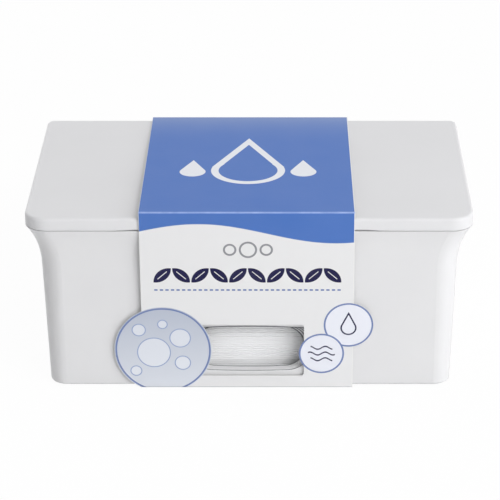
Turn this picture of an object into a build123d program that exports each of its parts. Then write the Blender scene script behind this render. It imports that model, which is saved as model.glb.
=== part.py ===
from build123d import *
from math import atan2, cos, degrees, radians, sin, sqrt, tan
import os

# A wipes dispenser: a flared plastic case with a hinged lid, a press plate on the
# stack of wipes inside, and a card sleeve wrapped round the closed box. Millimetres.
# The origin is on the shelf under the middle of the case, +X right, +Y back, +Z up.

# Case and lid, outside
case_width = 241.0
case_depth = 145.0
case_height = 94.65
lid_height = 7.0
parting_gap = 0.25
rim_corner_front = 12.2
rim_corner_back = 4.0
foot_corner_front = 9.5
foot_corner_back = 8.0
least_corner = 1.0

# The walls fall from the rim in a hollow curve, then lean in a little to the base
flare_radius = 46.0
side_flare = 7.7
front_flare = 3.0
side_draft = 1.8
front_draft = 1.0
base_round = 1.2

# Walls
case_wall = 2.4
case_floor = 2.6
floor_round = 2.4
rim_land = 5.0
lid_wall = 2.2
lid_top = 2.2
lid_round = 1.7
skirt_round = 0.4

# Finger relief along the front edge of the lid
relief_end = 46.5
relief_taper = 12.0
relief_lift = 0.8

# Window low in the front wall: an opening with a frame on its inside, and a clear
# pane fixed on the frame
window_width = 61.4
window_height = 26.8
window_bulge = 1.2
window_corner = 11.5
window_centre = 22.7
window_bevel = 0.4
reveal_steps = 3
reveal_spread = 2.4
reveal_rise = 0.6
reveal_corner = 5.0
frame_depth = 1.4
frame_width = 2.0
pane_thickness = 1.2
pane_bead = 0.4
pane_bead_width = 1.2
bead_clearance = 0.1

# Rear hinge: a long barrel on the lid between two ears on the case
barrel_end = 32.5
barrel_radius = 1.9
hinge_stand_off = 0.3
hinge_clearance = 0.3
ear_width = 6.0
ear_web_drop = 7.0
ear_web_round = 0.5
barrel_web_rise = 2.6
barrel_web_round = 0.6
pin_radius = 0.9
pin_grip = 8.0
pin_clearance = 0.03

# Lid liner with its raised panel, and the seal round it
liner_flange = 1.4
liner_gap = 0.3
liner_wall = 1.6
tub_gap = 1.0
tub_reach = 2.5
panel_margin = 26.0
panel_corner = 8.0
panel_relief = 0.6
seal_width = 3.2
seal_round = 0.9
seal_lift = 0.25

# Rubber feet set into the base
foot_radius = 6.5
foot_sink = 0.7
foot_proud = 0.3
foot_clearance = 0.1
foot_inset_x = 22.0
foot_inset_y = 19.0

# Wipes and the weighted plate that lies on them
stack_gap_x = 8.2
stack_gap_y = 4.0
mouth_room = 31.65
stack_corner = 5.0
soft_gap = 0.3
plate_gap = 3.6
plate_corner = 8.0
plate_height = 9.0
plate_wall = 2.0
plate_round = 1.6
tray_thickness = 1.8
tray_clearance = 0.1
slot_end = 56.5
slot_width = 16.0
collar_wall = 1.8
collar_rise = 1.6
weight_margin_x = 24.0
weight_margin_y = 12.4
weight_thickness = 3.5
weight_corner = 3.0
rib_width = 2.0
rib_count = 3
wipe_gap = 4.6
wipe_fan = 15.0
wipe_waist = 10.0
wipe_fold = 4.5
wipe_taper = 0.8

# Card sleeve round the middle of the closed box
card = 0.45
card_gap = 0.2
fold_round = 0.6
sleeve_width = 115.3
sleeve_shift = -1.1
sleeve_rise = 4.0
bottom_gap = 0.8
hinge_cut = 1.6
cut_out_width = 59.4
cut_out_height = 31.9
cut_out_corner = 1.8
cut_out_y = 23.2
tab_left_radius = 26.6
tab_left_inset = 11.25
tab_left_y = 23.4
tab_right_radius = 13.5
tab_right_inset = 2.65
tab_right_y = 39.1
disc_radius = 12.4
disc_offset = 9.6
disc_y = 21.3

# Heights worked out from the sizes above
foot_z = card + card_gap
base_z = foot_z + foot_proud
rim_z = base_z + case_height
skirt_z = rim_z + parting_gap
lid_z = skirt_z + lid_height
lid_under = lid_z - lid_top
floor_z = base_z + case_floor
stack_z = rim_z - mouth_room
plate_z = stack_z + soft_gap
plate_top = plate_z + plate_height
tub_z = rim_z - tub_reach
wipe_z = tub_z - wipe_gap
axis_z = rim_z + parting_gap / 2

# Places worked out from the sizes above
waist = sqrt(2 * flare_radius * side_flare - side_flare ** 2)
waist_z = rim_z - waist
barrel_length = case_width - 2 * barrel_end
relief_length = case_width - 2 * relief_end
axis_y = case_depth / 2 + hinge_stand_off
hinge_bore = barrel_radius + hinge_clearance
ear_inner = barrel_length / 2 + hinge_clearance
mouth_width = case_width - 2 * rim_land
mouth_depth = case_depth - 2 * rim_land
sleeve_left = sleeve_shift - sleeve_width / 2
tab_left_x = sleeve_left + tab_left_inset
tab_right_x = sleeve_left + sleeve_width - tab_right_inset
disc_x = cut_out_width / 2 + disc_offset
back_inner = axis_y + barrel_radius + card_gap
back_outer = back_inner + card
strip_z = axis_z - hinge_cut


# How far a wall stands in from the rim, at a depth below the rim
def flare_inset(flare, below):
    drop = sqrt(2 * flare_radius * flare - flare ** 2)
    rise = max(drop - below, 0)
    return flare - flare_radius + sqrt(flare_radius ** 2 - rise ** 2)


# Width and depth of the case at a height, less a wall on every side
def case_size(z, wall=0.0):
    below = rim_z - z
    run = max(below - waist, 0)
    side = flare_inset(side_flare, below) + run * tan(radians(side_draft)) + wall
    front = flare_inset(front_flare, below) + run * tan(radians(front_draft)) + wall
    return case_width - 2 * side, case_depth - 2 * front


# Radii of the case's front and back corners at a height, less a wall on every side
def case_corners(z, wall=0.0):
    share = (rim_z - z) / case_height
    front = rim_corner_front + (foot_corner_front - rim_corner_front) * share
    back = rim_corner_back + (foot_corner_back - rim_corner_back) * share
    return max(front - wall, least_corner), max(back - wall, least_corner)


# A rectangle whose front corners are rounder than its back ones
def box_outline(size, corners):
    with BuildSketch(Plane.XY, mode=Mode.PRIVATE) as outline:
        Rectangle(*size)
        fillet(outline.vertices().group_by(Axis.Y)[0], corners[0])
        fillet(outline.vertices().group_by(Axis.Y)[-1], corners[1])
    return outline.sketch


flare_steps = 6
flare_levels = [waist_z + waist * step / flare_steps for step in range(flare_steps + 1)]
base_width, base_depth = case_size(base_z)
cavity_width, cavity_depth = case_size(floor_z, case_wall)
plate_width = cavity_width - 2 * plate_gap
plate_depth = cavity_depth - 2 * plate_gap
stack_width = cavity_width - 2 * stack_gap_x
stack_depth = cavity_depth - 2 * stack_gap_y
slot_length = plate_width - 2 * slot_end

# The liner's raised panel hangs into the mouth and clears the walls round it
throat_width, throat_depth = case_size(tub_z, case_wall)
tub_width = min(mouth_width, throat_width) - 2 * tub_gap
tub_depth = min(mouth_depth, throat_depth) - 2 * tub_gap

# The front wall leans: a plane on its outside at the middle of the window
window_z = base_z + window_centre
window_y = -case_size(window_z)[1] / 2
lean = radians(front_draft)
front_wall = Plane((0, window_y, window_z), x_dir=(1, 0, 0), z_dir=(0, -cos(lean), -sin(lean)))
wall_back = front_wall.offset(-case_wall * cos(lean))
frame_back = wall_back.offset(-frame_depth)

# The sleeve's front panel passes just in front of the lid's skirt and of the base
panel_foot_y = -(base_depth / 2 + bottom_gap)
panel_slope = (case_depth / 2 + card_gap + panel_foot_y) / skirt_z
panel_lean = atan2(panel_slope, 1)
card_run = card / cos(panel_lean)
fold_z = lid_z + sleeve_rise
fold_y = panel_foot_y - panel_slope * fold_z
top_slope = (sleeve_rise - card_gap) / (back_inner - fold_y)
panel_plane = Plane(
    (0, panel_foot_y - card_run, 0),
    x_dir=(1, 0, 0),
    z_dir=(0, -cos(panel_lean), -sin(panel_lean)),
)
panel_length = (fold_z + card) / cos(panel_lean)


# Height of the sleeve's top panel, on its underside, from front to back
def top_under(y):
    return lid_z + card_gap + top_slope * (back_inner - y)


# The window's outline: long sides that bulge and large round corners. Further out,
# the steps of its reveal are wider, and squarer at their upper corners.
def window_outline(inset=0.0, outwards=0.0):
    half = window_width / 2 + reveal_spread * outwards - inset
    edge = window_height / 2 + reveal_rise * outwards - inset
    shoulder = edge - window_bulge
    with BuildSketch(Plane.XY, mode=Mode.PRIVATE) as outline:
        with BuildLine():
            ThreePointArc((-half, shoulder), (0, edge), (half, shoulder))
            Line((half, shoulder), (half, -shoulder))
            ThreePointArc((half, -shoulder), (0, -edge), (-half, -shoulder))
            Line((-half, -shoulder), (-half, shoulder))
        make_face()
        upper = window_corner + (reveal_corner - window_corner) * outwards
        fillet(outline.vertices().group_by(Axis.Y)[-1], upper - inset)
        fillet(outline.vertices().group_by(Axis.Y)[0], window_corner - inset)
    return outline.sketch


# The space inside the case, clipped to the mouth in its rim
def make_cavity():
    with BuildPart() as cavity:
        for z in (floor_z, waist_z):
            with BuildSketch(Plane.XY.offset(z)):
                add(box_outline(case_size(z, case_wall), case_corners(z, case_wall)))
        loft(ruled=True)
        fillet(cavity.edges().group_by(Axis.Z)[0], floor_round)
        for z in flare_levels:
            with BuildSketch(Plane.XY.offset(z)):
                add(box_outline(case_size(z, case_wall), case_corners(z, case_wall)))
        loft()
        with BuildSketch(Plane.XY.offset(floor_z)):
            add(box_outline((mouth_width, mouth_depth), case_corners(rim_z, rim_land)))
        extrude(amount=rim_z - floor_z, mode=Mode.INTERSECT)
    return cavity


# Ear of the rear hinge, seen along the pin
def ear_profile():
    web_z = rim_z - ear_web_drop
    web_y = case_size(web_z, case_wall / 2)[1] / 2
    with BuildSketch(Plane.XY, mode=Mode.PRIVATE) as profile:
        with Locations((axis_y, axis_z)):
            Circle(barrel_radius)
        with Locations((web_y, web_z)):
            Circle(ear_web_round)
        make_hull()
    return profile.sketch


# Places of the four feet
foot_x = base_width / 2 - foot_inset_x
foot_y = base_depth / 2 - foot_inset_y
foot_places = {
    "foot_front_left": (-foot_x, -foot_y),
    "foot_front_right": (foot_x, -foot_y),
    "foot_rear_left": (-foot_x, foot_y),
    "foot_rear_right": (foot_x, foot_y),
}


def make_case():
    cavity = make_cavity()
    ear = ear_profile()
    with BuildPart() as case:
        for z in (base_z, waist_z):
            with BuildSketch(Plane.XY.offset(z)):
                add(box_outline(case_size(z), case_corners(z)))
        loft(ruled=True)
        fillet(case.edges().group_by(Axis.Z)[0], base_round)
        for z in flare_levels:
            with BuildSketch(Plane.XY.offset(z)):
                add(box_outline(case_size(z), case_corners(z)))
        loft()
        add(cavity.part, mode=Mode.SUBTRACT)
        # Window frame on the inside, then the opening, its outer edge broken
        with BuildSketch(wall_back):
            add(window_outline(window_bevel - frame_width))
        extrude(amount=-frame_depth)
        with BuildSketch(front_wall):
            add(window_outline(window_bevel))
        extrude(amount=-case_wall - frame_depth, both=True, mode=Mode.SUBTRACT)
        for step in range(reveal_steps):
            with BuildSketch(front_wall):
                add(window_outline(window_bevel, 1 - step / reveal_steps))
            extrude(amount=-case_wall * (step + 1) / reveal_steps, mode=Mode.SUBTRACT)
        with BuildSketch(front_wall):
            add(window_outline(0, 1))
        with BuildSketch(front_wall.offset(-window_bevel)):
            add(window_outline(window_bevel, 1))
        loft(mode=Mode.SUBTRACT)
        # Recesses for the feet
        with BuildSketch(Plane.XY.offset(base_z)):
            with Locations(*foot_places.values()):
                Circle(foot_radius + foot_clearance)
        extrude(amount=foot_sink, mode=Mode.SUBTRACT)
        # Room for the lid's barrel in the rear rim, then the two ears
        with BuildSketch(Plane.YZ.offset(-ear_inner)):
            with Locations((axis_y, axis_z)):
                Circle(hinge_bore)
        extrude(amount=2 * ear_inner, mode=Mode.SUBTRACT)
        for start in (-ear_inner - ear_width, ear_inner):
            with BuildSketch(Plane.YZ.offset(start)):
                add(ear)
            extrude(amount=ear_width)
        with BuildSketch(Plane.YZ.offset(-ear_inner - ear_width)):
            with Locations((axis_y, axis_z)):
                Circle(pin_radius + pin_clearance)
        extrude(amount=2 * (ear_inner + ear_width), mode=Mode.SUBTRACT)
    return case


def make_pane():
    with BuildPart() as pane:
        with BuildSketch(frame_back):
            add(window_outline(window_bevel - frame_width))
        extrude(amount=-pane_thickness)
        # A bead on the pane that centres it in the opening
        with BuildSketch(frame_back):
            add(window_outline(window_bevel + bead_clearance))
            add(window_outline(window_bevel + pane_bead_width), mode=Mode.SUBTRACT)
        extrude(amount=pane_bead)
    return pane


def make_foot(x, y):
    with BuildPart() as foot:
        with BuildSketch(Plane.XY.offset(foot_z)):
            with Locations((x, y)):
                Circle(foot_radius)
        extrude(amount=foot_sink + foot_proud)
        fillet(foot.edges().group_by(Axis.Z)[0], foot_proud / 2)
    return foot


def make_lid():
    with BuildPart() as lid:
        with BuildSketch(Plane.XY.offset(skirt_z)):
            add(box_outline((case_width, case_depth), case_corners(rim_z)))
        extrude(amount=lid_height)
        fillet(lid.edges().group_by(Axis.Z)[-1], lid_round)
        fillet(lid.edges().group_by(Axis.Z)[0], skirt_round)
        with BuildSketch(Plane.XY.offset(skirt_z)):
            inside = (case_width - 2 * lid_wall, case_depth - 2 * lid_wall)
            add(box_outline(inside, case_corners(rim_z, lid_wall)))
        extrude(amount=lid_height - lid_top, mode=Mode.SUBTRACT)
        # Finger relief in the front skirt, tapering away at both ends
        with BuildSketch(Plane.XZ.offset(case_depth / 2 - lid_wall)):
            with BuildLine():
                Polyline(
                    (-relief_length / 2, skirt_z),
                    (-relief_length / 2 + relief_taper, skirt_z + relief_lift),
                    (relief_length / 2 - relief_taper, skirt_z + relief_lift),
                    (relief_length / 2, skirt_z),
                    close=True,
                )
            make_face()
        extrude(amount=lid_wall, mode=Mode.SUBTRACT)
        # Hinge barrel with its web into the rear skirt, bored for the pins
        with BuildSketch(Plane.YZ.offset(-barrel_length / 2)):
            with Locations((axis_y, axis_z)):
                Circle(barrel_radius)
            with Locations((case_depth / 2 - lid_wall / 2, skirt_z + barrel_web_rise)):
                Circle(barrel_web_round)
            make_hull()
        extrude(amount=barrel_length)
        for start in (-barrel_length / 2, barrel_length / 2 - pin_grip):
            with BuildSketch(Plane.YZ.offset(start)):
                with Locations((axis_y, axis_z)):
                    Circle(pin_radius + pin_clearance)
            extrude(amount=pin_grip, mode=Mode.SUBTRACT)
        # Room in the rear skirt for the ears of the case
        for start in (-ear_inner - ear_width - hinge_clearance, barrel_length / 2):
            with BuildSketch(Plane.YZ.offset(start)):
                with Locations((axis_y, axis_z)):
                    Circle(hinge_bore)
            extrude(amount=ear_width + 2 * hinge_clearance, mode=Mode.SUBTRACT)
    return lid


def make_pin(side):
    with BuildPart() as pin:
        outer = ear_inner + ear_width
        length = ear_width + hinge_clearance + pin_grip - pin_clearance
        start = outer - length if side > 0 else -outer
        with BuildSketch(Plane.YZ.offset(start)):
            with Locations((axis_y, axis_z)):
                Circle(pin_radius)
        extrude(amount=length)
    return pin


def make_liner():
    inset = lid_wall + liner_gap
    flange = (case_width - 2 * inset, case_depth - 2 * inset)
    hollow = (tub_width - 2 * liner_wall, tub_depth - 2 * liner_wall)
    with BuildPart() as liner:
        with BuildSketch(Plane.XY.offset(lid_under - liner_flange)):
            add(box_outline(flange, case_corners(rim_z, inset)))
        extrude(amount=liner_flange)
        with BuildSketch(Plane.XY.offset(tub_z)):
            add(box_outline((tub_width, tub_depth), case_corners(tub_z, case_wall + tub_gap)))
        extrude(amount=lid_under - tub_z)
        fillet(liner.edges().group_by(Axis.Z)[0], liner_wall / 2)
        with BuildSketch(Plane.XY.offset(tub_z + liner_wall)):
            add(box_outline(hollow, case_corners(tub_z, case_wall + tub_gap + liner_wall)))
        extrude(amount=lid_under - tub_z - liner_wall, mode=Mode.SUBTRACT)
        with BuildSketch(Plane.XY.offset(tub_z)):
            RectangleRounded(tub_width - 2 * panel_margin, tub_depth - 2 * panel_margin, panel_corner)
        extrude(amount=panel_relief, mode=Mode.SUBTRACT)
    return liner


def make_seal():
    outside = (tub_width + 2 * seal_width, tub_depth + 2 * seal_width)
    with BuildPart() as seal:
        with BuildSketch(Plane.XY.offset(rim_z + seal_lift)):
            add(box_outline(outside, case_corners(tub_z, case_wall + tub_gap - seal_width)))
            add(box_outline((tub_width, tub_depth), case_corners(tub_z, case_wall + tub_gap)), mode=Mode.SUBTRACT)
        extrude(amount=lid_under - liner_flange - rim_z - seal_lift)
        fillet(seal.edges().group_by(Axis.Z)[0], seal_round)
    return seal


# One weight on each side of the slot, and the ribs over them
weight_places = {"plate_weight_front": -1, "plate_weight_rear": 1}
weight_y = (slot_width + plate_depth) / 4
weight_length = plate_width - 2 * weight_margin_x
weight_width = (plate_depth - slot_width) / 2 - 2 * weight_margin_y
rib_spacing = weight_length / rib_count


def make_plate_cover():
    hollow = plate_height - plate_wall
    with BuildPart() as cover:
        with BuildSketch(Plane.XY.offset(plate_z)):
            RectangleRounded(plate_width, plate_depth, plate_corner)
        extrude(amount=plate_height)
        fillet(cover.edges().group_by(Axis.Z)[-1], plate_round)
        with BuildSketch(Plane.XY.offset(plate_z)):
            RectangleRounded(plate_width - 2 * plate_wall, plate_depth - 2 * plate_wall, plate_corner - plate_wall)
        extrude(amount=hollow, mode=Mode.SUBTRACT)
        # Collar round the slot, and ribs that hold the weights down
        with BuildSketch(Plane.XY.offset(plate_z)):
            SlotOverall(slot_length + 2 * collar_wall, slot_width + 2 * collar_wall)
        extrude(amount=plate_height + collar_rise)
        fillet(cover.edges().group_by(Axis.Z)[-1], collar_wall / 2)
        with BuildSketch(Plane.XY.offset(plate_z)):
            SlotOverall(slot_length, slot_width)
        extrude(amount=plate_height + collar_rise, mode=Mode.SUBTRACT)
        with BuildSketch(Plane.XY.offset(plate_z + tray_thickness + weight_thickness)):
            with Locations((0, -weight_y), (0, weight_y)):
                with GridLocations(rib_spacing, 0, rib_count, 1):
                    Rectangle(rib_width, weight_width)
        extrude(amount=hollow - tray_thickness - weight_thickness)
    return cover


def make_plate_tray():
    shrink = 2 * (plate_wall + tray_clearance)
    reach = 2 * (collar_wall + tray_clearance)
    with BuildPart() as tray:
        with BuildSketch(Plane.XY.offset(plate_z)):
            RectangleRounded(plate_width - shrink, plate_depth - shrink, plate_corner - shrink / 2)
            SlotOverall(slot_length + reach, slot_width + reach, mode=Mode.SUBTRACT)
        extrude(amount=tray_thickness)
    return tray


def make_weight(side):
    with BuildPart() as weight:
        with BuildSketch(Plane.XY.offset(plate_z + tray_thickness)):
            with Locations((0, side * weight_y)):
                RectangleRounded(weight_length, weight_width, weight_corner)
        extrude(amount=weight_thickness)
    return weight


def make_stack():
    with BuildPart() as stack:
        with BuildSketch(Plane.XY.offset(floor_z)):
            RectangleRounded(stack_width, stack_depth, stack_corner)
        extrude(amount=stack_z - floor_z)
    return stack


# The wipe that stands ready in the slot, gathered where it passes through
def make_wipe():
    levels = (
        (plate_z, wipe_waist, wipe_fold * wipe_taper),
        (plate_top, wipe_waist, wipe_fold * wipe_taper),
        ((plate_top + wipe_z) / 2, wipe_fan * wipe_taper, wipe_fold),
        (wipe_z, wipe_fan, wipe_fold * wipe_taper),
    )
    with BuildPart() as wipe:
        for z, half_width, half_depth in levels:
            with BuildSketch(Plane.XY.offset(z)):
                Ellipse(half_width, half_depth)
        loft()
    return wipe


def make_sleeve_front():
    with BuildPart() as sleeve:
        # Top and front panels in one bent profile
        with BuildSketch(Plane.YZ.offset(sleeve_left)):
            with BuildLine():
                Polyline(
                    (back_outer, top_under(back_outer)),
                    (fold_y, top_under(fold_y)),
                    (panel_foot_y, 0),
                    (panel_foot_y - card_run, 0),
                    (fold_y - card_run - panel_slope * card, fold_z + card),
                    (back_outer, top_under(back_outer) + card),
                    close=True,
                )
            make_face()
        extrude(amount=sleeve_width)
        fold = sleeve.edges().filter_by(Axis.X).group_by(Axis.Z)[-1]
        fillet(fold, fold_round)
        # Round tabs that stand out past both edges
        with BuildSketch(panel_plane):
            with Locations((tab_left_x, tab_left_y)):
                Circle(tab_left_radius)
            with Locations((tab_right_x, tab_right_y)):
                Circle(tab_right_radius)
            with Locations((0, panel_length / 2)):
                Rectangle(case_width, panel_length, mode=Mode.INTERSECT)
        extrude(amount=-card)
        # Cut-out over the window, less the discs of card that reach into it
        with BuildSketch(panel_plane):
            with Locations((0, cut_out_y)):
                RectangleRounded(cut_out_width, cut_out_height, cut_out_corner)
            with Locations((tab_left_x, tab_left_y)):
                Circle(tab_left_radius, mode=Mode.SUBTRACT)
            with Locations((disc_x, disc_y)):
                Circle(disc_radius, mode=Mode.SUBTRACT)
        extrude(amount=-card, both=True, mode=Mode.SUBTRACT)
    return sleeve


def make_sleeve_back():
    with BuildPart() as sleeve:
        with BuildSketch(Plane.YZ.offset(sleeve_left)):
            with BuildLine():
                Polyline(
                    (panel_foot_y, 0),
                    (back_outer, 0),
                    (back_outer, strip_z),
                    (back_inner, strip_z),
                    (back_inner, card),
                    (panel_foot_y, card),
                    close=True,
                )
            make_face()
        extrude(amount=sleeve_width)
        fold = sleeve.edges().filter_by(Axis.X).group_by(Axis.Z)[0].sort_by(Axis.Y)[-1]
        fillet(fold, fold_round)
    return sleeve


# The band of card over the hinge, which gives way when the lid is opened
def make_sleeve_strip():
    with BuildPart() as strip:
        with BuildSketch(Plane.YZ.offset(sleeve_left)):
            with BuildLine():
                Polyline(
                    (back_inner, strip_z),
                    (back_outer, strip_z),
                    (back_outer, top_under(back_outer)),
                    (back_inner, top_under(back_inner)),
                    close=True,
                )
            make_face()
        extrude(amount=sleeve_width)
    return strip


pieces = {
    "case_shell": make_case(),
    "window_pane": make_pane(),
    "lid_shell": make_lid(),
    "lid_liner": make_liner(),
    "lid_seal": make_seal(),
    "hinge_pin_left": make_pin(-1),
    "hinge_pin_right": make_pin(1),
    "plate_cover": make_plate_cover(),
    "plate_tray": make_plate_tray(),
    "wipes_stack": make_stack(),
    "leading_wipe": make_wipe(),
    "sleeve_front": make_sleeve_front(),
    "sleeve_back": make_sleeve_back(),
    "sleeve_hinge_strip": make_sleeve_strip(),
}
for name, place in foot_places.items():
    pieces[name] = make_foot(*place)
for name, side in weight_places.items():
    pieces[name] = make_weight(side)

os.makedirs("parts", exist_ok=True)
for name, piece in pieces.items():
    piece.part.label = name
    export_step(piece.part, f"parts/{name}.step")

print(f"hinge axis y {axis_y:.3f} z {axis_z:.3f}, floor {floor_z:.3f}, stack top {stack_z:.3f}")
print(f"plate {plate_z:.3f} to {plate_top:.3f}, tub {tub_z:.3f}, rim {rim_z:.3f}, lid {lid_z:.3f}")
print(f"base {base_width:.2f} x {base_depth:.2f}, plate {plate_width:.2f} x {plate_depth:.2f}")
print(f"panel foot y {panel_foot_y:.3f}, fold y {fold_y:.3f} z {fold_z:.3f}, back {back_inner:.3f}")
print(f"panel lean {degrees(panel_lean):.3f}, strip from {strip_z:.3f}")
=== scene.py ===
import math
import random
import bmesh
import bpy
from mathutils import Matrix, Vector, noise


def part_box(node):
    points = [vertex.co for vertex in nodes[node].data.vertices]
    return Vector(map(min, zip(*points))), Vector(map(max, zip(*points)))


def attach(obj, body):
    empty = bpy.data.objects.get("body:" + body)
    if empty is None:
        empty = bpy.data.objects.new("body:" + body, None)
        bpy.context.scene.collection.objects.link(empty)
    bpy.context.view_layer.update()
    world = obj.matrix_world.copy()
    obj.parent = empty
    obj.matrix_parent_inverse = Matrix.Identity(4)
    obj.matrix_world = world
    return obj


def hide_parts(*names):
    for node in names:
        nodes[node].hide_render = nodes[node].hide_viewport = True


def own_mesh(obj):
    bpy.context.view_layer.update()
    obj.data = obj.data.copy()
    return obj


# A wipes dispenser in its printed card sleeve. Metres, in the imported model's frame:
# +X right, +Y back towards the hinge, +Z up, origin on the shelf under the case.
# Looks are written in millimetres and in 0 to 255 colours.

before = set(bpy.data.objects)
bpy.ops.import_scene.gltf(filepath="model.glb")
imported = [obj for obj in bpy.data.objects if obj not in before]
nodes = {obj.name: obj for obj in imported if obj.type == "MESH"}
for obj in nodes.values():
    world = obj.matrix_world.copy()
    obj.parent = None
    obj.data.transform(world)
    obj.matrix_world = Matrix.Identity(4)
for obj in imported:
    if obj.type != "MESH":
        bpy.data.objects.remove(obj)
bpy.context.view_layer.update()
mm = 0.001
print("frame loaded,", len(nodes), "nodes")


def tint(red, green, blue):  # a screen colour as linear light
    linear = []
    for part in (red, green, blue):
        share = part / 255
        linear.append(share / 12.92 if share <= 0.04045 else ((share + 0.055) / 1.055) ** 2.4)
    return (*linear, 1.0)


class Field:  # one socket of a material, which sums can be written with
    def __init__(self, tree, socket):
        self.tree, self.socket = tree, socket

    def node(self, kind, settings, values, out=0):
        made = self.tree.nodes.new(kind)
        for key, value in settings.items():
            setattr(made, key, value)
        for key, value in values.items():
            if isinstance(value, Field):
                self.tree.links.new(value.socket, made.inputs[key])
            else:
                made.inputs[key].default_value = value
        return Field(self.tree, made.outputs[out])

    def maths(self, operation, *values, clamp=False):
        settings = {"operation": operation, "use_clamp": clamp}
        return self.node("ShaderNodeMath", settings, dict(enumerate(values)))

    def __add__(self, other):
        return self.maths("ADD", self, other)

    def __sub__(self, other):
        return self.maths("SUBTRACT", self, other)

    def __rsub__(self, other):
        return self.maths("SUBTRACT", other, self)

    def __mul__(self, other):
        return self.maths("MULTIPLY", self, other)

    def __truediv__(self, other):
        return self.maths("DIVIDE", self, other)

    def __neg__(self):
        return self.maths("MULTIPLY", self, -1.0)

    def __abs__(self):
        return self.maths("ABSOLUTE", self)

    __radd__ = __add__
    __rmul__ = __mul__

    def most(self, other):
        return self.maths("MAXIMUM", self, other)

    def least(self, other):
        return self.maths("MINIMUM", self, other)

    def square(self):
        return self * self

    def root(self):
        return self.maths("SQRT", self)

    def sine(self):
        return self.maths("SINE", self)

    def cosine(self):
        return self.maths("COSINE", self)

    def clamped(self):  # held between 0 and 1
        return self.maths("MULTIPLY", self, 1.0, clamp=True)

    def wrap(self, period):  # runs from minus half a period to half a period
        return self.maths("WRAP", self, period / 2, -period / 2)

    def inside(self, soft=0.12):  # 1 where this distance is below zero
        return self.maths("MULTIPLY_ADD", self, -1 / soft, 0.5, clamp=True)

    def over(self, base, top):  # this mask lays one colour over another
        return self.node("ShaderNodeMix", {"data_type": "RGBA"}, {0: self, 6: base, 7: top}, out=2)

    def axis(self, letter):
        return self.node("ShaderNodeSeparateXYZ", {}, {0: self}, out="XYZ".index(letter)) * 1000

    def grain(self, size, detail=2.0, seed=0.0):  # noise with lumps of that many millimetres
        values = {"Vector": self, "W": seed, "Scale": 1000 / size, "Detail": detail}
        return self.node("ShaderNodeTexNoise", {"noise_dimensions": "4D"}, values)

    def bump(self, depth, strength=1.0):
        values = {"Height": self, "Distance": depth * mm, "Strength": strength}
        return self.node("ShaderNodeBump", {}, values)


def newMaterial(name):
    material = bpy.data.materials.new(name)
    material.use_nodes = True
    tree = material.node_tree
    place = tree.nodes.new("ShaderNodeTexCoord").outputs["Object"]
    return material, tree.nodes["Principled BSDF"], Field(tree, place)


def setLooks(shader, looks):
    for key, value in looks.items():
        if isinstance(value, Field):
            value.tree.links.new(value.socket, shader.inputs[key])
        else:
            shader.inputs[key].default_value = value


def lengthOf(across, along):
    return (across.square() + along.square()).root()


# Moulded plastics and rubber: a faint cloudiness in the colour, a fine satin grain,
# and places that hands and neighbours have rubbed smoother
mouldedLooks = {
    "casePlastic": {
        "light": (233, 233, 234), "dark": (227, 227, 229), "cloud": 38, "grain": 0.45,
        "depth": 0.012, "roughness": 0.46, "rubbed": 0.10, "nodes": ["case_shell"],
    },
    "lidPlastic": {
        "light": (232, 232, 234), "dark": (227, 227, 229), "cloud": 45, "grain": 0.45,
        "depth": 0.012, "roughness": 0.52, "rubbed": 0.10, "nodes": ["lid_shell"],
    },
    "linerPlastic": {
        "light": (230, 231, 233), "dark": (223, 224, 227), "cloud": 30, "grain": 0.7,
        "depth": 0.02, "roughness": 0.42, "rubbed": 0.08, "nodes": ["lid_liner"],
    },
    "platePlastic": {
        "light": (219, 221, 224), "dark": (211, 213, 217), "cloud": 25, "grain": 0.6,
        "depth": 0.02, "roughness": 0.40, "rubbed": 0.10, "nodes": ["plate_cover", "plate_tray"],
    },
    "sealRubber": {
        "light": (201, 204, 207), "dark": (190, 193, 197), "cloud": 12, "grain": 0.3,
        "depth": 0.02, "roughness": 0.62, "rubbed": 0.12, "nodes": ["lid_seal"],
    },
    "footRubber": {
        "light": (166, 168, 170), "dark": (146, 148, 151), "cloud": 5, "grain": 0.35,
        "depth": 0.05, "roughness": 0.74, "rubbed": 0.12,
        "nodes": ["foot_front_left", "foot_front_right", "foot_rear_left", "foot_rear_right"],
    },
}
mouldedGloss = {"IOR": 1.47, "Specular IOR Level": 0.3}

# Painted shade: the edge that stands next to the shelf is darkened as a contact shadow, but not the
# flat underside
footShadeLook = {
    "height": 1.5, "soft": 1.0, "underside": 0.98, "edge": 0.05, "share": 0.7,
    "colour": (140, 141, 144),
}


def makeMoulded(name, look):
    material, shader, place = newMaterial(name)
    cloud = place.grain(look["cloud"])
    rub = place.grain(look["cloud"] / 3, detail=4.0, seed=3.0)
    satin = place.grain(look["grain"], detail=3.0, seed=1.0)
    # Painted contact shadow on the lower edge near the shelf, leaving out the flat underside
    height = place.axis("Z")
    low = (height - footShadeLook["height"]).inside(footShadeLook["soft"])
    footShade = low.least((footShadeLook["underside"] - height).inside(footShadeLook["edge"]))
    colour = cloud.over(tint(*look["dark"]), tint(*look["light"]))
    colour = (footShade * footShadeLook["share"]).over(colour, tint(*footShadeLook["colour"]))
    setLooks(shader, {
        "Base Color": colour,
        "Roughness": look["roughness"] + look["rubbed"] * (rub - 0.5) + 0.03 * (satin - 0.5),
        "Normal": satin.bump(look["depth"]),
        **mouldedGloss,
    })
    return material


def putOn(material, nodeNames):
    for nodeName in nodeNames:
        slots = nodes[nodeName].data.materials
        slots.clear()
        slots.append(material)


for name, look in mouldedLooks.items():
    putOn(makeMoulded(name, look), look["nodes"])
print("moulded plastics done")

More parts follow.
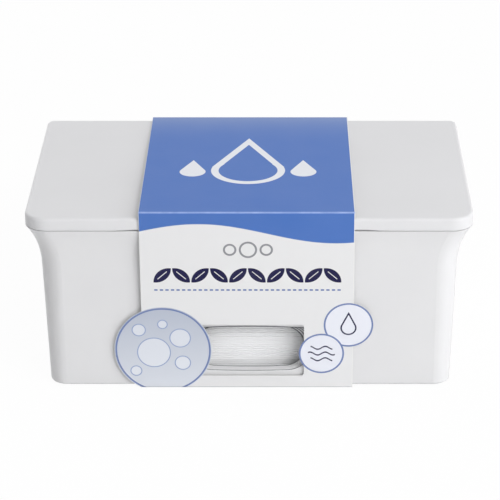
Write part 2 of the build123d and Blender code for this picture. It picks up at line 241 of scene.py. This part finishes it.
# Zinc-plated weights and drawn pins: fine lines along the metal, with duller patches
metalLooks = {
    "weightSteel": {
        "light": (176, 178, 181), "dark": (146, 148, 152), "patch": 9, "line": 0.5,
        "stretch": (0.05, 1.0, 1.0), "depth": 0.01, "roughness": 0.42, "dulled": 0.2,
        "nodes": ["plate_weight_front", "plate_weight_rear"],
    },
    "pinSteel": {
        "light": (196, 197, 199), "dark": (168, 169, 172), "patch": 4, "line": 0.2,
        "stretch": (0.1, 1.0, 1.0), "depth": 0.005, "roughness": 0.3, "dulled": 0.2,
        "nodes": ["hinge_pin_left", "hinge_pin_right"],
    },
}


def makeMetal(name, look):
    material, shader, place = newMaterial(name)
    drawn = place.node("ShaderNodeMapping", {}, {"Vector": place, "Scale": look["stretch"]})
    lines = drawn.grain(look["line"], detail=2.0)
    patch = place.grain(look["patch"], detail=4.0, seed=2.0)
    setLooks(shader, {
        "Base Color": patch.over(tint(*look["dark"]), tint(*look["light"])),
        "Roughness": look["roughness"] + look["dulled"] * (patch - 0.5),
        "Normal": lines.bump(look["depth"]),
        "Metallic": 1.0,
    })
    return material


for name, look in metalLooks.items():
    putOn(makeMetal(name, look), look["nodes"])
print("metals done")

# Clear pane: see-through, with the bead round it a little milky
paneLook = {
    "colour": (236, 239, 241), "roughness": 0.07, "alpha": 0.03, "beadAlpha": 0.08, "index": 1.49,
    "beadAcross": 29.1, "beadUp": 11.4, "middle": 23.65, "corner": 9.9, "beadSoft": 0.4,
    "wave": 30, "waveDepth": 0.4, "clouded": 0.03,
}


def makePane():
    material, shader, place = newMaterial("clearPane")
    across = abs(place.axis("X")) - (paneLook["beadAcross"] - paneLook["corner"])
    upward = abs(place.axis("Z") - paneLook["middle"]) - (paneLook["beadUp"] - paneLook["corner"])
    outwards = lengthOf(across.most(0.0), upward.most(0.0))
    bead = 1 - (outwards - paneLook["corner"]).inside(paneLook["beadSoft"])
    ripple = place.grain(paneLook["wave"], detail=1.0)
    setLooks(shader, {
        "Base Color": tint(*paneLook["colour"]),
        "Roughness": paneLook["roughness"] + paneLook["clouded"] * ripple,
        "Alpha": paneLook["alpha"] + (paneLook["beadAlpha"] - paneLook["alpha"]) * bead,
        "Normal": ripple.bump(paneLook["waveDepth"]),
        "IOR": paneLook["index"],
    })
    return material


putOn(makePane(), ["window_pane"])
print("pane done")

# Printed card. The print is worked out on the flat: across the sleeve, and up its
# front panel from the bottom edge; the top panel runs back from the fold.
cardLook = {
    "lean": 2.155, "footY": -69.543, "foldY": -73.58, "foldZ": 107.3,
    "backY": 75.35, "backZ": 103.5, "edgeLeft": -58.6, "edgeRight": 56.15, "skin": 0.2,
    "frontTo": -66.0, "topFrom": 101.0, "backFrom": 70.0,
    "white": (236, 236, 237), "blue": (78, 119, 194), "navy": (17, 14, 68),
    "grey": (146, 147, 152), "line": (112, 131, 181), "pale": (238, 240, 249),
    "drop": (240, 242, 248), "film": (255, 255, 255), "filmShare": 0.03, "filmPatch": 20.0,
    "core": (244, 244, 243), "coreDark": (226, 225, 222),
    # a paler tint towards the back of the top panel, a painted highlight
    "backSheen": (198, 206, 218), "backSheenFrom": 20.0, "backSheenShare": 0.28,
    "roughness": 0.38, "coreRoughness": 0.3, "fibre": 0.9, "fibreDepth": 0.012,
}
cardGloss = {"IOR": 1.45, "Specular IOR Level": 0.12}
# Worn whitening at the top fold, brightened further as a painted highlight along the fold
creaseWearAndHighlightLook = {
    "colour": (166, 188, 238), "half": 0.75, "soft": 0.5, "wornLeast": 0.25, "wornMore": 0.9,
    "patch": 5.0,
}
# Painted contact shadow along the card's foot, next to the shelf
cardFootShadeLook = {
    "colour": (132, 134, 140), "share": 0.45, "height": 0.45, "soft": 0.5, "deep": 0.35,
    "edge": 0.1,
}
waveLook = {"height": 94.6, "rise": 5.7, "peakAt": -27.2, "length": 148.0, "backHeight": 58.0}
garlandLook = {
    "up": 69.6, "left": -52.0, "right": 50.0, "leaves": 10, "turn": 42,
    "halfLength": 6.4, "halfWidth": 3.0, "veinLength": 3.4, "veinWidth": 0.22,
}
dashLook = {"up": 60.7, "count": 34, "halfLength": 0.9, "halfWidth": 0.5}
ringLook = {"up": 85.0, "places": ((-10.4, 3.6), (-0.6, 4.9), (9.2, 3.6)), "stroke": 0.55}
dropLook = {  # across, back, radius, and how far the point stands off
    "big": (-1.2, -12.0, 18.5, 46.0), "stroke": 2.1,
    "small": ((-32.0, -14.0, 7.2, 18.0), (29.6, -14.0, 7.2, 18.0)),
}
tabLook = {  # circles: across, up, radius
    "left": (-47.5, 23.4, 26.6), "right": (53.9, 39.1, 13.5), "disc": (39.3, 21.3, 12.4),
    "stroke": 0.95, "skyTop": (190, 197, 212), "skyFoot": (224, 228, 236),
    "skyFrom": 2, "skyRise": 44,
    "bubble": (243, 246, 252), "bubbleShare": 0.55, "bubbleSoft": 0.5,
    "bubbleLine": (150, 168, 206), "bubbleStroke": 0.28,
    "bubbles": (
        (-52.5, 22.0, 9.0), (-38.0, 31.0, 5.6), (-36.8, 15.5, 4.2),
        (-60.5, 36.0, 3.6), (-47.5, 39.5, 2.6), (-62.5, 10.5, 3.0),
    ),
}
signLook = {  # the small drop on the right tab, and three ripples on the disc
    "stroke": 0.42, "dropSink": 1.8, "dropRadius": 4.0, "dropTip": 9.0, "rippleStep": 3.6,
    "rippleRise": 0.9, "rippleTurn": 0.75, "rippleHalf": 7.4, "rippleTaper": 1.4,
}
backLook = {"spacing": 13.0, "foot": 12, "top": 50, "sink": 0.8, "radius": 1.7, "tip": 4.2}


def circleAt(x, up, middle, height, radius):
    return lengthOf(x - middle, up - height) - radius


def strokeOf(distance, half):
    return abs(distance) - half


def leafAt(along, across, halfLength, halfWidth):
    radius = (halfLength ** 2 + halfWidth ** 2) / (2 * halfWidth)
    return lengthOf(along, abs(across) + (radius - halfWidth)) - radius


def dropAt(x, up, middle, height, radius, tip):  # a round drop with its point upwards
    side, rise = abs(x - middle), up - height
    lean = math.asin(radius / tip)
    cone = (side - (tip - rise) * math.tan(lean)) * math.cos(lean)
    return circleAt(x, up, middle, height, radius).least(cone.most(radius ** 2 / tip - rise))


def makeCard():
    material, shader, place = newMaterial("printedCard")
    x, y, z = (place.axis(letter) for letter in "XYZ")
    lean = math.radians(cardLook["lean"])
    rise, run = cardLook["foldZ"] - cardLook["backZ"], cardLook["backY"] - cardLook["foldY"]
    fall = math.atan2(rise, run)
    up = z / math.cos(lean)
    inks = {key: tint(*value) for key, value in cardLook.items() if isinstance(value, tuple)}
    # Distances out of the four outer faces; the card's core shows where all are well inside
    front = -1 * ((y - cardLook["footY"]) * math.cos(lean) + z * math.sin(lean))
    top = (z - cardLook["backZ"]) * math.cos(fall) - (cardLook["backY"] - y) * math.sin(fall)
    outermost = front.most(top).most(y - cardLook["backY"]).most(-z)
    printed = (-cardLook["skin"] - outermost).inside(0.04)
    frontFace = (y - cardLook["frontTo"]).inside()
    topFace, backFace = (cardLook["topFrom"] - z).inside(), (cardLook["backFrom"] - y).inside()

    # Blue over white, parted by a long wave
    swing = ((x - waveLook["peakAt"]) * (2 * math.pi / waveLook["length"])).cosine()
    edge = waveLook["height"] + waveLook["rise"] * swing
    edge = edge - backFace * (waveLook["height"] - waveLook["backHeight"])
    colour = (edge - up).inside(0.25).over(inks["white"], inks["blue"])
    # Painted highlight: the top panel pales towards the back, standing for the sheen on the card's
    # rear bend
    backSheen = ((y - cardLook["backSheenFrom"]) / (cardLook["backY"] - cardLook["backSheenFrom"])).most(0.0)
    backSheen = backSheen.square() * backSheen * topFace * cardLook["backSheenShare"]
    colour = backSheen.over(colour, inks["backSheen"])

    # Three drops on the top panel
    drops = strokeOf(dropAt(x, y, *dropLook["big"]), dropLook["stroke"])
    for small in dropLook["small"]:
        drops = drops.least(dropAt(x, y, *small))
    colour = (drops.inside(0.25) * topFace).over(colour, inks["drop"])

    # A garland of leaves, a row of dashes and three rings on the front panel
    left, right = garlandLook["left"], garlandLook["right"]
    pitch = (right - left) / garlandLook["leaves"]
    cell = (x - left - pitch / 2) / pitch
    number = cell.maths("ROUND", cell)
    flip = 1 - 2 * abs(number.maths("MODULO", number, 2.0))
    along, across = (cell - number) * pitch, (up - garlandLook["up"]) * flip
    turn = math.radians(garlandLook["turn"])
    leafAlong = along * math.cos(turn) + across * math.sin(turn)
    leafAcross = across * math.cos(turn) - along * math.sin(turn)
    leaf = leafAt(leafAlong, leafAcross, garlandLook["halfLength"], garlandLook["halfWidth"])
    vein = abs(leafAcross) - garlandLook["veinWidth"]
    vein = vein.most(abs(leafAlong) - garlandLook["veinLength"])
    ends = abs(x - (left + right) / 2) - (right - left) / 2
    colour = (leaf.most(-vein).most(ends).inside() * frontFace).over(colour, inks["navy"])
    dashPitch = (right - left) / dashLook["count"]
    dash = abs((x - left - dashPitch / 2).wrap(dashPitch)) - dashLook["halfLength"]
    dash = dash.most(abs(up - dashLook["up"]) - dashLook["halfWidth"]).most(ends)
    colour = (dash.inside() * frontFace).over(colour, inks["line"])
    rings = None
    for middle, radius in ringLook["places"]:
        circle = circleAt(x, up, middle, ringLook["up"], radius - ringLook["stroke"])
        ring = strokeOf(circle, ringLook["stroke"])
        rings = ring if rings is None else rings.least(ring)
    colour = (rings.inside() * frontFace).over(colour, inks["grey"])

    # Round tabs: a tinted one with bubbles, and two pale ones with small signs
    roundTab = circleAt(x, up, *tabLook["left"])
    sky = ((up - tabLook["skyFrom"]) / tabLook["skyRise"]).clamped()
    inside = roundTab.inside() * frontFace
    colour = inside.over(colour, sky.over(tint(*tabLook["skyFoot"]), tint(*tabLook["skyTop"])))
    for spot in tabLook["bubbles"]:
        bubble = circleAt(x, up, *spot)
        filled = bubble.inside(tabLook["bubbleSoft"]) * inside * tabLook["bubbleShare"]
        colour = filled.over(colour, tint(*tabLook["bubble"]))
        outline = strokeOf(bubble, tabLook["bubbleStroke"]).inside() * inside
        colour = outline.over(colour, tint(*tabLook["bubbleLine"]))
    halfStroke = tabLook["stroke"] / 2
    outline = strokeOf(roundTab + tabLook["stroke"], halfStroke).inside() * frontFace
    colour = outline.over(colour, inks["line"])
    for key in ("right", "disc"):
        tab = circleAt(x, up, *tabLook[key])
        colour = (tab.inside() * frontFace).over(colour, inks["pale"])
        outline = strokeOf(tab + halfStroke, halfStroke).inside() * frontFace
        colour = outline.over(colour, inks["line"])
    middle, height = tabLook["right"][:2]
    height -= signLook["dropSink"]
    drop = dropAt(x, up, middle, height, signLook["dropRadius"], signLook["dropTip"])
    sign = strokeOf(drop, signLook["stroke"])
    middle, height = tabLook["disc"][:2]
    ripple = signLook["rippleRise"] * ((x - middle) * signLook["rippleTurn"]).sine()
    for step in (-1, 0, 1):
        line = strokeOf(up - height - signLook["rippleStep"] * step - ripple, signLook["stroke"])
        half = signLook["rippleHalf"] - signLook["rippleTaper"] * abs(step)
        sign = sign.least(line.most(abs(x - middle) - half))
    colour = (sign.inside() * frontFace).over(colour, inks["navy"])

    # Small drops on the white of the back panel
    spacing = backLook["spacing"]
    spotX, spotUp = x.wrap(spacing), (z - spacing / 2).wrap(spacing)
    spots = dropAt(spotX, spotUp, 0.0, -backLook["sink"], backLook["radius"], backLook["tip"])
    spots = spots.most(z - backLook["top"]).most(backLook["foot"] - z)
    colour = (spots.inside() * backFace).over(colour, inks["line"])

    # The cut edges and the inside show plain card; the foot gets a painted contact shadow, and the
    # crease worn whitening brightened further as a painted highlight
    rim = 1 - (cardLook["edgeLeft"] - x).most(x - cardLook["edgeRight"]).inside(0.15)
    outsideLeft = -circleAt(x, up, *tabLook["left"])
    besideTabs = outsideLeft.most(-circleAt(x, up, *tabLook["right"])).inside()
    colour = (rim * besideTabs).over(colour, inks["core"])
    outside = (y - cardLook["footY"] - cardFootShadeLook["deep"]).inside(cardFootShadeLook["edge"])
    footShaded = (z - cardFootShadeLook["height"]).inside(cardFootShadeLook["soft"]).least(outside)
    colour = (footShaded * cardFootShadeLook["share"]).over(colour, tint(*cardFootShadeLook["colour"]))
    # Painted highlight over worn whitening along the fold
    fold = lengthOf(y - cardLook["foldY"], z - cardLook["foldZ"])
    worn = place.grain(creaseWearAndHighlightLook["patch"], detail=3.0, seed=6.0)
    worn = creaseWearAndHighlightLook["wornLeast"] + creaseWearAndHighlightLook["wornMore"] * worn
    creaseWearAndHighlight = (fold - creaseWearAndHighlightLook["half"]).inside(creaseWearAndHighlightLook["soft"]) * worn
    colour = creaseWearAndHighlight.over(colour, tint(*creaseWearAndHighlightLook["colour"]))
    fibre = place.grain(cardLook["fibre"], detail=4.0, seed=4.0)
    core = fibre.over(inks["coreDark"], inks["core"])
    film = cardLook["filmShare"] * place.grain(cardLook["filmPatch"], seed=5.0)
    colour = printed.over(core, film.over(colour, inks["film"]))
    plain = cardLook["coreRoughness"] * (1 - printed)
    setLooks(shader, {
        "Base Color": colour,
        "Roughness": cardLook["roughness"] + plain + 0.08 * (fibre - 0.5),
        "Normal": fibre.bump(cardLook["fibreDepth"]),
        **cardGloss,
    })
    return material


printedCard = makeCard()
putOn(printedCard, ["sleeve_front", "sleeve_back"])
print("printed card done")

# Damp non-woven wipes
wipeLook = {
    "light": (253, 253, 254), "dark": (247, 247, 249), "fibre": 0.8, "stretch": (0.1, 1.0, 1.6),
    "lump": 7.0, "depth": 0.018, "roughness": 0.72, "sheen": 0.3, "sheenRoughness": 0.4,
}


def makeWipeCloth():
    material, shader, place = newMaterial("wipeCloth")
    drawn = place.node("ShaderNodeMapping", {}, {"Vector": place, "Scale": wipeLook["stretch"]})
    fibre = drawn.grain(wipeLook["fibre"], detail=5.0)
    lump = place.grain(wipeLook["lump"], detail=3.0, seed=2.0)
    mixed = 0.6 * fibre + 0.4 * lump
    setLooks(shader, {
        "Base Color": mixed.over(tint(*wipeLook["dark"]), tint(*wipeLook["light"])),
        "Roughness": wipeLook["roughness"] + 0.2 * (fibre - 0.5),
        "Normal": (fibre + 0.4 * lump).bump(wipeLook["depth"]),
        "Sheen Weight": wipeLook["sheen"],
        "Sheen Roughness": wipeLook["sheenRoughness"],
    })
    return material


wipeCloth = makeWipeCloth()


def newGrid(segments, size):
    grid = bmesh.new()
    bmesh.ops.create_grid(grid, x_segments=segments[0], y_segments=segments[1], size=size)
    return grid


def pour(part, pile):  # adds one mesh to another, and frees it
    data = bpy.data.meshes.new("part")
    part.to_mesh(data)
    part.free()
    pile.from_mesh(data)
    bpy.data.meshes.remove(data)


def newPiece(name, mesh, material, body, smooth=True):
    data = bpy.data.meshes.new(name)
    mesh.to_mesh(data)
    mesh.free()
    data.materials.append(material)
    for face in data.polygons:
        face.use_smooth = smooth
    piece = bpy.data.objects.new(name, data)
    bpy.context.scene.collection.objects.link(piece)
    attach(piece, body)
    return piece


# Painted shade: thin dark strips on the steps of the window's reveal, standing for the shadows
# along the steps. The first and the last run all the way round, and those between lie under the
# upper corners.
revealShadeLook = {
    "wallY": -68.691, "middleZ": 23.65, "lean": 1.0, "halfAcross": 30.7, "halfUp": 13.4,
    "bulge": 1.2, "lowCorner": 11.5, "highCorner": 5.0, "spread": 2.4, "rise": 0.6,
    "thick": 0.3, "segments": 12, "cuts": 16, "light": (92, 94, 99), "dark": (70, 72, 77),
    "patch": 1.2, "depth": 0.02, "roughness": 0.5, "dulled": 0.2,
}
revealShadeRings = [  # how far out, in from the outline, how deep, how wide, and down to where
    {"outwards": 1.0, "inset": 0.05, "deep": 0.05, "wide": 0.22, "foot": None},
    {"outwards": 1.0, "inset": 0.02, "deep": 0.02, "wide": 0.55, "foot": 0.0},
    {"outwards": 0.667, "inset": 0.36, "deep": 1.25, "wide": 0.45, "foot": -2.0},
    {"outwards": 0.333, "inset": 0.36, "deep": 2.05, "wide": 0.45, "foot": -3.0},
    {"outwards": 0.0, "inset": 0.36, "deep": 2.50, "wide": 0.40, "foot": -4.0},
    {"outwards": 0.0, "inset": 0.38, "deep": 3.20, "wide": 0.12, "foot": None},
]


def makeRing(ring):
    outwards, low, bulge = ring["outwards"], revealShadeLook["lowCorner"], revealShadeLook["bulge"]
    halfAcross = revealShadeLook["halfAcross"] + revealShadeLook["spread"] * outwards - ring["inset"]
    halfUp = revealShadeLook["halfUp"] + revealShadeLook["rise"] * outwards - ring["inset"]
    shoulder = halfUp - bulge
    high = low + (revealShadeLook["highCorner"] - low) * outwards
    band = newGrid((1, 1), 1)
    bmesh.ops.scale(band, vec=(halfAcross, shoulder, 1), verts=band.verts)
    for radius, side in ((high, 1), (low, -1)):
        ends = [vert for vert in band.verts if abs(vert.co.y - side * shoulder) < 0.001]
        bmesh.ops.bevel(
            band, geom=ends, affect="VERTICES", offset=radius - ring["inset"],
            offset_type="OFFSET", segments=revealShadeLook["segments"], profile=0.5, material=-1,
        )
    longEdges = [edge for edge in band.edges if edge.calc_length() > halfAcross]
    bmesh.ops.subdivide_edges(band, edges=longEdges, cuts=revealShadeLook["cuts"])
    for vert in band.verts:
        vert.co.y += bulge * (1 - (vert.co.x / halfAcross) ** 2) * vert.co.y / shoulder
    inner = bmesh.ops.inset_region(
        band, faces=band.faces[:], thickness=ring["wide"], use_even_offset=True, use_boundary=True,
    )
    rim = set(inner["faces"])
    middle = [face for face in band.faces if face not in rim]
    bmesh.ops.delete(band, geom=middle, context="FACES")
    if ring["foot"] is not None:
        everything = band.verts[:] + band.edges[:] + band.faces[:]
        bmesh.ops.bisect_plane(
            band, geom=everything, plane_co=(0, ring["foot"], 0), plane_no=(0, -1, 0),
            clear_outer=True,
        )
    grown = bmesh.ops.extrude_face_region(band, geom=band.faces[:])
    sunk = [part for part in grown["geom"] if isinstance(part, bmesh.types.BMVert)]
    bmesh.ops.translate(band, vec=(0, 0, -revealShadeLook["thick"]), verts=sunk)
    bmesh.ops.recalc_face_normals(band, faces=band.faces)
    bmesh.ops.translate(band, vec=(0, 0, -ring["deep"]), verts=band.verts)
    return band


def makeRevealShade():
    # Dark strips that stand for the shade on the reveal's steps
    material, shader, place = newMaterial("revealShadeStrips")
    dull = place.grain(revealShadeLook["patch"], detail=3.0)
    setLooks(shader, {
        "Base Color": dull.over(tint(*revealShadeLook["dark"]), tint(*revealShadeLook["light"])),
        "Roughness": revealShadeLook["roughness"] + revealShadeLook["dulled"] * (dull - 0.5),
        "Normal": dull.bump(revealShadeLook["depth"]),
    })
    pile = bmesh.new()
    for ring in revealShadeRings:
        pour(makeRing(ring), pile)
    turn = Matrix.Rotation(math.radians(90 + revealShadeLook["lean"]), 3, "X")
    bmesh.ops.rotate(pile, matrix=turn, verts=pile.verts)
    bmesh.ops.translate(pile, vec=(0, revealShadeLook["wallY"], revealShadeLook["middleZ"]), verts=pile.verts)
    bmesh.ops.scale(pile, vec=(mm, mm, mm), verts=pile.verts)
    newPiece("windowRevealShade", pile, material, "case", smooth=False)


makeRevealShade()
print("gaskets done")

# The stack: folded wipes one on another, each a thin slab with rounded fold edges
stackLook = {
    "layers": 46, "corner": 5.0, "cornerSegments": 4, "segments": (26, 5), "slab": 0.98,
    "rounding": 0.3, "room": 0.4, "stray": 0.2, "sway": 0.15, "lift": 0.08, "seed": 11,
    "swayScale": 18, "layerStep": 2.7,
}


def isRim(edge, thick):  # a level edge where the top or the underside meets the side
    level = abs(edge.verts[0].co.z - edge.verts[1].co.z) < thick / 4
    return level and len(edge.link_faces) == 2 and edge.calc_face_angle() > 1.0


def makeStack():
    low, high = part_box("wipes_stack")
    size, middle = high - low, (low + high) / 2
    thick = size.z / stackLook["layers"]
    random.seed(stackLook["seed"])
    noise.seed_set(stackLook["seed"])  # without this the sway differs from run to run
    pile = bmesh.new()
    for layer in range(stackLook["layers"]):
        sheet = newGrid(stackLook["segments"], 0.5)
        inset = random.uniform(0, stackLook["stray"]) * mm
        less = 2 * stackLook["room"] * mm + 2 * inset
        bmesh.ops.scale(sheet, vec=(size.x - less, size.y - less, 1), verts=sheet.verts)
        corners = [vert for vert in sheet.verts if len(vert.link_faces) == 1]
        bmesh.ops.bevel(
            sheet, geom=corners, affect="VERTICES", offset=stackLook["corner"] * mm,
            offset_type="OFFSET", segments=stackLook["cornerSegments"], profile=0.5, material=-1,
        )
        grown = bmesh.ops.extrude_face_region(sheet, geom=sheet.faces[:])
        risen = [part for part in grown["geom"] if isinstance(part, bmesh.types.BMVert)]
        bmesh.ops.translate(sheet, vec=(0, 0, thick * stackLook["slab"]), verts=risen)
        bmesh.ops.recalc_face_normals(sheet, faces=sheet.faces)
        rims = [edge for edge in sheet.edges if isRim(edge, thick)]
        bmesh.ops.bevel(
            sheet, geom=rims, affect="EDGES", offset=thick * stackLook["rounding"],
            offset_type="OFFSET", segments=2, profile=0.5, material=-1,
        )
        shift = Vector((random.uniform(-1, 1), random.uniform(-1, 1), 0))
        shift *= stackLook["stray"] * mm - inset
        base = Vector((middle.x, middle.y, low.z + layer * thick))
        scale = stackLook["swayScale"]
        for vert in sheet.verts:
            seed = Vector((vert.co.x * scale, vert.co.y * scale, layer * stackLook["layerStep"]))
            sway = noise.noise_vector(seed) * stackLook["sway"] * mm
            sway.z *= stackLook["lift"] / stackLook["sway"]
            vert.co += base + shift + sway
            vert.co.z = min(max(vert.co.z, low.z), high.z)
        pour(sheet, pile)
    piece = newPiece("wipesStack", pile, wipeCloth, "case")
    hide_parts("wipes_stack")
    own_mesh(piece)


makeStack()
print("stack done")

# The wipe that stands ready: a strip of cloth in pleats, drawn in by the slot
readyLook = {
    "segments": (120, 30), "pleats": 4, "waist": 9.6, "fan": 13.6, "depth": 3.1,
    "topDepth": 3.6, "opensAt": 0.42, "openingCurve": 1.3, "droop": 4.5, "room": 0.2,
    "ruffle": 0.5, "ruffleTurn": 1.1, "twist": 0.8, "endsFlatter": 0.2, "cloth": 0.35,
    "flat": (0.060, 0.024), "seed": 5,
}


def makeReadyWipe():
    low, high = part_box("leading_wipe")
    middle = (low + high) / 2
    room, opensAt = readyLook["room"] * mm, readyLook["opensAt"]
    cloth = newGrid(readyLook["segments"], 0.5)
    for vert in cloth.verts:
        across, rise = vert.co.x + 0.5, vert.co.y + 0.5
        opened = max(0.0, (rise - opensAt) / (1 - opensAt)) ** readyLook["openingCurve"]
        half = readyLook["waist"] + (readyLook["fan"] - readyLook["waist"]) * opened
        depth = readyLook["depth"] + (readyLook["topDepth"] - readyLook["depth"]) * opened
        ruffle = noise.noise(Vector((across * 3, rise * 2, readyLook["seed"])))
        phase = 2 * math.pi * readyLook["pleats"] * across
        phase += readyLook["ruffleTurn"] * ruffle + readyLook["twist"] * opened
        edge = (2 * across - 1) ** 2
        height = (high.z - low.z - 2 * room) * rise - readyLook["droop"] * mm * opened * edge
        vert.co = Vector((
            middle.x + (half * (2 * across - 1) + readyLook["ruffle"] * ruffle) * mm,
            middle.y + depth * math.sin(phase) * (1 - readyLook["endsFlatter"] * edge) * mm,
            low.z + room + height,
        ))
    bmesh.ops.recalc_face_normals(cloth, faces=cloth.faces)
    piece = newPiece("readyWipe", cloth, wipeCloth, "plate")
    wall = piece.modifiers.new("thickness", "SOLIDIFY")
    wall.thickness, wall.offset = readyLook["cloth"] * mm, 0
    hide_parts("leading_wipe")


makeReadyWipe()
print("ready wipe done")

# The band of card over the hinge, built flat; on the real sleeve it crumples down as the lid opens
stripLook = {"segments": (30, 6), "keep": 0.05}


def makeStrip():
    low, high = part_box("sleeve_hinge_strip")
    size, middle = high - low, (low + high) / 2
    band = newGrid(stripLook["segments"], 0.5)
    bmesh.ops.scale(band, vec=(size.x, size.z, 1), verts=band.verts)
    bmesh.ops.rotate(band, matrix=Matrix.Rotation(math.radians(90), 3, "X"), verts=band.verts)
    bmesh.ops.translate(band, vec=middle, verts=band.verts)
    piece = newPiece("hingeStrip", band, printedCard, "sleeve_case_half")
    wall = piece.modifiers.new("card", "SOLIDIFY")
    wall.thickness, wall.offset = size.y, 0
    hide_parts("sleeve_hinge_strip")
    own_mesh(piece)


makeStrip()
print("hinge strip done")

# Floor, world, lamps and camera
stageLook = {
    "floor": (250, 250, 250), "floorSize": 6.0, "floorDrop": 0.05, "floorRoughness": 0.9,
    "showThrough": 0.96, "world": 0.27, "lampsFace": (0, 0, 0.05),
}
lampLooks = {
    "keyLamp": {"at": (1.75, -1.1, 0.75), "size": 1.0, "power": 15.9},
    "topLamp": {"at": (0.1, 0.3, 1.9), "size": 1.6, "power": 9.3},
    "rearLamp": {"at": (-1.2, 1.7, 0.6), "size": 1.0, "power": 11.0},
    "highLamp": {"at": (1.0, -1.5, 1.5), "size": 0.9, "power": 19.0},
}
cameraLook = {
    "at": (0.0165, -1.1505, 0.57944), "pitch": 24.65, "lens": 159.42, "sensor": 36.0,
    "shift": -0.0597,
}


def showsBackdrop(tree):  # rays that should see plain white
    path = tree.nodes.new("ShaderNodeLightPath")
    kinds = ("Is Camera Ray", "Is Glossy Ray", "Is Transmission Ray")
    camera, glossy, through = (Field(tree, path.outputs[kind]) for kind in kinds)
    return camera.most(glossy).most(through)


def makeFloor():
    sheet = newGrid((1, 1), stageLook["floorSize"])
    bmesh.ops.translate(sheet, vec=(0, 0, -stageLook["floorDrop"] * mm), verts=sheet.verts)
    data = bpy.data.meshes.new("floor")
    sheet.to_mesh(data)
    sheet.free()
    floor = bpy.data.objects.new("floor", data)
    bpy.context.scene.collection.objects.link(floor)
    material, shader = newMaterial("floorPaint")[:2]
    setLooks(shader, {
        "Base Color": tint(*stageLook["floor"]),
        "Roughness": stageLook["floorRoughness"],
    })
    tree = material.node_tree
    glow = tree.nodes.new("ShaderNodeEmission")
    blend = tree.nodes.new("ShaderNodeMixShader")
    tree.links.new((showsBackdrop(tree) * stageLook["showThrough"]).socket, blend.inputs[0])
    tree.links.new(shader.outputs[0], blend.inputs[1])
    tree.links.new(glow.outputs[0], blend.inputs[2])
    tree.links.new(blend.outputs[0], tree.nodes["Material Output"].inputs["Surface"])
    data.materials.append(material)


def makeWorld():
    world = bpy.data.worlds.new("studio")
    bpy.context.scene.world = world
    world.use_nodes = True
    tree = world.node_tree
    sky = tree.nodes["Background"]
    sky.inputs["Color"].default_value = (1, 1, 1, 1)
    seen = showsBackdrop(tree)
    strength = stageLook["world"] + (1 - stageLook["world"]) * seen
    tree.links.new(strength.socket, sky.inputs["Strength"])


def makeLamps():
    target = Vector(stageLook["lampsFace"])
    for name, look in lampLooks.items():
        light = bpy.data.lights.new(name, "AREA")
        light.energy, light.size = look["power"], look["size"]
        lamp = bpy.data.objects.new(name, light)
        bpy.context.scene.collection.objects.link(lamp)
        lamp.location = look["at"]
        lamp.rotation_euler = (target - lamp.location).to_track_quat("-Z", "Y").to_euler()


def makeCamera():
    lens = bpy.data.cameras.new("camera")
    lens.lens, lens.sensor_width = cameraLook["lens"], cameraLook["sensor"]
    lens.shift_x = cameraLook["shift"]
    camera = bpy.data.objects.new("camera", lens)
    bpy.context.scene.collection.objects.link(camera)
    camera.location = cameraLook["at"]
    camera.rotation_euler = (math.radians(90 - cameraLook["pitch"]), 0, 0)
    bpy.context.scene.camera = camera


makeFloor()
makeWorld()
makeLamps()
makeCamera()
bpy.context.scene.view_settings.view_transform = "Standard"
print("stage done")
